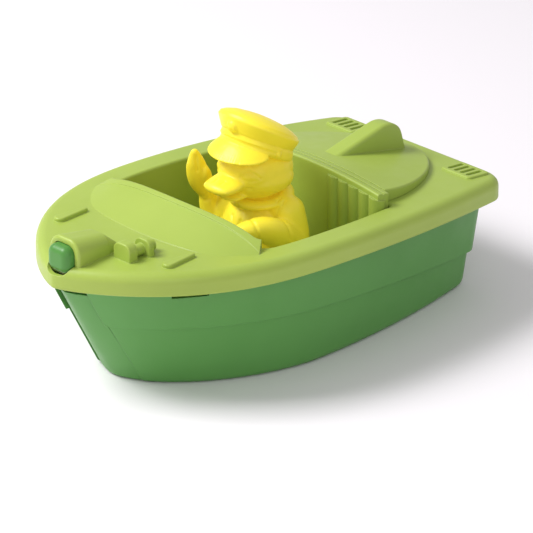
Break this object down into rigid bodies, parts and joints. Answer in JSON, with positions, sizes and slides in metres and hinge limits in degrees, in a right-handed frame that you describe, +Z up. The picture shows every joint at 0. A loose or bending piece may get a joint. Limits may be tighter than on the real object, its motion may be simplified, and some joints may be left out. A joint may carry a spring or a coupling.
{
  "type": "toy boat",
  "caption": "Moulded toy speedboat with open cockpit, ribbed seat back, engine cover, push button at the bow and a lift-out duck captain.",
  "frame": {"origin": "middle of the length and beam, on the surface the boat stands on", "axes": "+X to the bow, +Y to port, +Z up"},
  "size_m": [0.28, 0.1624, 0.1266],
  "materials": {
    "hull_green": "satin moulded",
    "deck_green": "satin moulded",
    "button_green": "satin moulded",
    "captain_yellow": "satin soft vinyl",
    "clip_steel": "bright wire"
  },
  "bodies": {
    "boat": {"hull": "hull_green", "stem_post": "hull_green", "deck": "deck_green", "engine_cover": "deck_green", "button_spring": "clip_steel"},
    "button": {"bow_button": "button_green", "button_clip": "clip_steel"},
    "captain": {"captain_body": "captain_yellow"},
    "head": {"captain_head": "captain_yellow", "captain_cap": "captain_yellow"}
  },
  "joints": [
    {"name": "button_press", "type": "slide", "parent": "boat", "child": "button", "axis": [-1, 0, 0], "range_m": [0, 0.003], "stiffness_N_per_m": 300, "springref_m": -0.003, "deforming": ["button_spring"]},
    {"name": "captain_lift", "type": "slide", "parent": "boat", "child": "captain", "axis": [0, 0, 1], "range_m": [0, 0.1]},
    {"name": "head_turn", "type": "hinge", "parent": "captain", "child": "head", "pos_m": [-0.01, 0, 0.08], "axis": [0, 0, 1], "range_deg": [-20, 45]}
  ]
}
